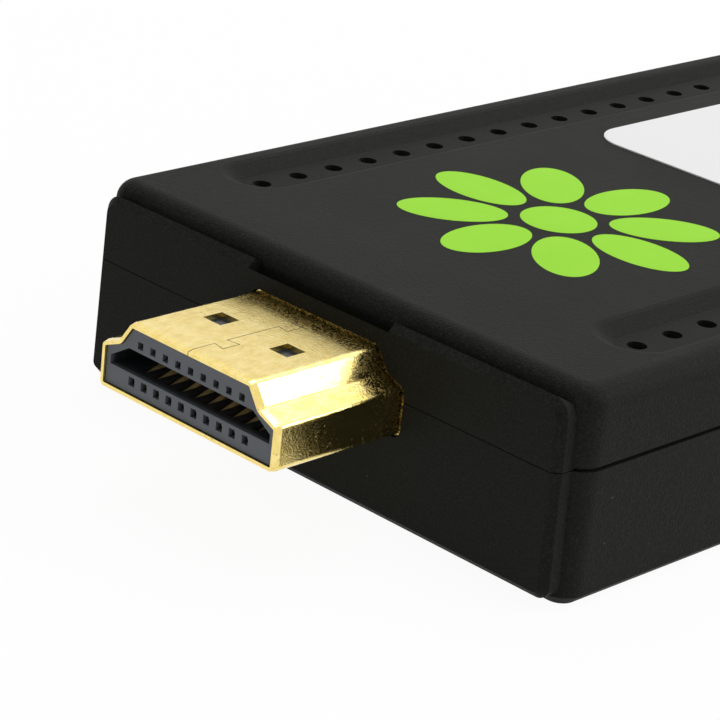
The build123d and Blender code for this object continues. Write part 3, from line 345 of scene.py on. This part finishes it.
def ceramic_body():
    made = Finish("ceramic_body")
    fired = made.noise(0.25, detail=3.0)
    made.colour(made.blend(fired, (0.30, 0.19, 0.10, 1), (0.42, 0.29, 0.17, 1)))
    made.rough(0.35 + 0.2 * fired)
    made.bump(fired, depth=0.006, strength=0.5)
    return made.material


def clear_plastic():
    made = Finish("clear_plastic", Transmission_Weight=0.85, IOR=1.58)
    haze = made.noise(0.3, detail=3.0)
    made.colour(made.blend(haze, grey(0.86, -0.01), grey(0.95, -0.005)))
    made.rough(0.10 + 0.10 * haze)
    made.bump(haze, depth=0.003, strength=0.4)
    return made.material


finishes = {
    case_plastic: ("upper_shell", "lower_shell"),
    gold_plating: ("plug_shell",),
    insulator_plastic: ("plug_insulator",),
    contact_gold: ("plug_contacts_upper", "plug_contacts_lower", "usb_host_contacts", "otg_port_contacts",
                   "power_port_contacts", "card_socket_contacts", "antenna"),
    solder_mask: ("main_board",),
    chip_epoxy: ("processor", "memory_chips", "flash_chip", "power_chip"),
    soft_pad: ("thermal_pad",),
    milled_aluminium: ("heat_sink",),
    socket_steel: ("usb_host_shell", "otg_port_shell", "power_port_shell", "card_socket_cover",
                   "reset_switch_cover", "wireless_module", "crystals"),
    screw_zinc: ("board_screws",),
    black_nylon: ("usb_host_tongue", "otg_port_tongue", "power_port_tongue", "card_socket_base",
                  "card_slider", "reset_switch_base"),
    pale_nylon: ("reset_button",),
    ferrite: ("power_inductors",),
    tantalum_case: ("tantalum_capacitors",),
    ceramic_body: ("ceramic_capacitors",),
    clear_plastic: ("light_pipe", "status_led"),
}
for make_finish, node_names in finishes.items():
    material = make_finish()
    for node_name in node_names:
        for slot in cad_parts[node_name].material_slots:
            slot.material = material


# Flat pieces on the roof
def lay_flat(name, mesh, material):
    """Makes an object of a mesh and lays it on the roof with the case."""
    bmesh.ops.recalc_face_normals(mesh, faces=mesh.faces)
    data = bpy.data.meshes.new(name)
    mesh.to_mesh(data)
    mesh.free()
    piece = bpy.data.objects.new(name, data)
    bpy.context.scene.collection.objects.link(piece)
    data.materials.append(material)
    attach(piece, "stick")


def thicken(mesh, faces, thickness):
    """Lifts flat faces into a closed sheet."""
    lifted = bmesh.ops.extrude_face_region(mesh, geom=faces)["geom"]
    moved = [item for item in lifted if isinstance(item, bmesh.types.BMVert)]
    bmesh.ops.translate(mesh, verts=moved, vec=(0, 0, thickness))


# Printed flower: a disc with petals round it
flower_middle = Vector((0, -20.1 * MM, roof_level))
flower_radius = 9.6 * MM
flower_eye = 2.3 * MM
petal_count = 8
petal_width = 3.9 * MM
petal_gap = 0.7 * MM
disc_segments = 40
ink_thickness = 0.012 * MM


def disc(mesh, place):
    """A flat ellipse: a unit circle taken to its place."""
    made = bmesh.ops.create_circle(mesh, cap_ends=True, segments=disc_segments, radius=1.0, matrix=place)
    return list({face for vert in made["verts"] for face in vert.link_faces})


def roof_flower():
    mesh = bmesh.new()
    to_middle = Matrix.Translation(flower_middle)
    faces = disc(mesh, to_middle @ Matrix.Diagonal((flower_eye, flower_eye, 1, 1)))
    inner = flower_eye + petal_gap
    half_length = (flower_radius - inner) / 2
    out = Matrix.Translation((0, inner + half_length, 0))
    petal = out @ Matrix.Diagonal((petal_width / 2, half_length, 1, 1))
    for i in range(petal_count):
        turn = Matrix.Rotation(2 * math.pi * i / petal_count, 4, "Z")
        faces += disc(mesh, to_middle @ turn @ petal)
    thicken(mesh, faces, ink_thickness)
    lay_flat("roof_flower", mesh, print_ink())


# Bare white label
label_low = Vector((-10.1 * MM, -5.8 * MM))
label_high = Vector((10.1 * MM, 20.2 * MM))
label_corner = 2.5 * MM
label_thickness = 0.09 * MM
label_edge = 0.03 * MM
corner_segments = 10
edge_segments = 2


def roof_label():
    mesh = bmesh.new()
    size = label_high - label_low
    middle = (label_high + label_low) / 2
    place = Matrix.Translation((middle.x, middle.y, roof_level + label_thickness / 2))
    scale = Matrix.Diagonal((size.x, size.y, label_thickness, 1))
    bmesh.ops.create_cube(mesh, size=1.0, matrix=place @ scale)
    upright = [edge for edge in mesh.edges
               if abs(edge.verts[0].co.z - edge.verts[1].co.z) > label_thickness / 2]
    bmesh.ops.bevel(mesh, geom=upright, offset=label_corner, offset_type="OFFSET",
                    segments=corner_segments, profile=0.5, affect="EDGES", material=-1)
    top = [edge for edge in mesh.edges
           if min(vert.co.z for vert in edge.verts) > roof_level + label_thickness / 2]
    bmesh.ops.bevel(mesh, geom=top, offset=label_edge, offset_type="OFFSET",
                    segments=edge_segments, profile=0.5, affect="EDGES", material=-1)
    lay_flat("roof_label", mesh, label_film())


roof_flower()
roof_label()


# Camera
camera_place = Vector((104.047, -148.756, 68.892)) * MM
camera_right = Vector((0.70320, 0.70384, 0.10063))
camera_up = Vector((-0.33212, 0.20003, 0.92178))
camera_lens = 147.83
camera_sensor = 36.0
camera_nearest = 1 * MM
camera_farthest = 10.0


def photo_camera():
    data = bpy.data.cameras.new("photo_camera")
    data.lens = camera_lens
    data.sensor_width = camera_sensor
    data.clip_start = camera_nearest
    data.clip_end = camera_farthest
    camera = bpy.data.objects.new("photo_camera", data)
    bpy.context.scene.collection.objects.link(camera)
    back = camera_right.cross(camera_up)
    turn = Matrix((camera_right, camera_up, back)).transposed().to_4x4()
    camera.matrix_world = Matrix.Translation(camera_place) @ turn
    bpy.context.scene.camera = camera


# Floor, surroundings and lamps
floor_size = 6.0
floor_drop = 0.02 * MM
floor_white = 0.86
floor_own_light = 0.95
sky_level = 0.45
card_dark = 0.01
# Name, place in metres and side in metres
cards = (("upper_front_card", (-0.25, -0.21, 0.25), 0.50),
         ("front_right_card", (0.26, -0.24, 0.10), 0.30))
# Name, place in metres, side in metres and power in watts
lamps = (("overhead_lamp", (-0.05, 0.14, 0.55), 0.45, 1.75),
         ("rear_right_lamp", (0.42, 0.45, 0.30), 0.30, 1.6))


def shown_rays(nodes):
    """1 for what the camera, a reflection or a clear piece shows, 0 for light that falls on the object."""
    rays = [nodes.node("ShaderNodeLightPath", {}, {}, ray)
            for ray in ("Is Camera Ray", "Is Glossy Ray", "Is Transmission Ray")]
    return nodes.node("ShaderNodeMath", {"operation": "MINIMUM"}, {0: rays[0] + rays[1] + rays[2], 1: 1.0})


def studio_floor():
    mesh = bmesh.new()
    bmesh.ops.create_grid(mesh, x_segments=1, y_segments=1, size=floor_size / 2)
    data = bpy.data.meshes.new("studio_floor")
    mesh.to_mesh(data)
    mesh.free()
    floor = bpy.data.objects.new("studio_floor", data)
    floor.location.z = cad_low.z - floor_drop
    bpy.context.scene.collection.objects.link(floor)
    material = bpy.data.materials.new("studio_white")
    material.use_nodes = True
    nodes = Nodes(material.node_tree)
    nodes.tree.nodes.clear()
    paper = nodes.node("ShaderNodeBsdfDiffuse", {}, {"Color": grey(floor_white)})
    glow = nodes.node("ShaderNodeEmission", {}, {"Color": grey(1.0), "Strength": 1.0})
    share = floor_own_light * shown_rays(nodes)
    mixed = nodes.node("ShaderNodeMixShader", {}, {0: share, 1: paper, 2: glow})
    nodes.node("ShaderNodeOutputMaterial", {}, {"Surface": mixed})
    data.materials.append(material)


def surroundings():
    world = bpy.data.worlds.new("surroundings")
    bpy.context.scene.world = world
    world.use_nodes = True
    nodes = Nodes(world.node_tree)
    nodes.tree.nodes.clear()
    strength = sky_level + (1 - sky_level) * shown_rays(nodes)
    sky = nodes.node("ShaderNodeBackground", {}, {"Color": grey(1.0), "Strength": strength})
    nodes.node("ShaderNodeOutputWorld", {}, {"Surface": sky})


def soft_lamp(name, place, size, power):
    """A square lamp at a place, turned towards the object."""
    data = bpy.data.lights.new(name, "AREA")
    data.size = size
    data.energy = power
    lamp = bpy.data.objects.new(name, data)
    lamp.location = place
    lamp.rotation_euler = (-Vector(place)).to_track_quat("-Z", "Y").to_euler()
    bpy.context.scene.collection.objects.link(lamp)


def dark_card(name, place, size):
    """A square dark card at a place, facing the object, which only reflections show."""
    mesh = bmesh.new()
    bmesh.ops.create_grid(mesh, x_segments=1, y_segments=1, size=size / 2)
    data = bpy.data.meshes.new(name)
    mesh.to_mesh(data)
    mesh.free()
    card = bpy.data.objects.new(name, data)
    card.location = place
    card.rotation_euler = Vector(place).to_track_quat("Z", "Y").to_euler()
    card.visible_camera = False
    card.visible_diffuse = False
    bpy.context.scene.collection.objects.link(card)
    material = bpy.data.materials.new(name)
    material.use_nodes = True
    nodes = Nodes(material.node_tree)
    nodes.tree.nodes.clear()
    felt = nodes.node("ShaderNodeBsdfDiffuse", {}, {"Color": grey(card_dark)})
    nodes.node("ShaderNodeOutputMaterial", {}, {"Surface": felt})
    data.materials.append(material)


photo_camera()
studio_floor()
surroundings()
for card in cards:
    dark_card(*card)
for lamp in lamps:
    soft_lamp(*lamp)

bpy.context.scene.view_settings.view_transform = "Standard"
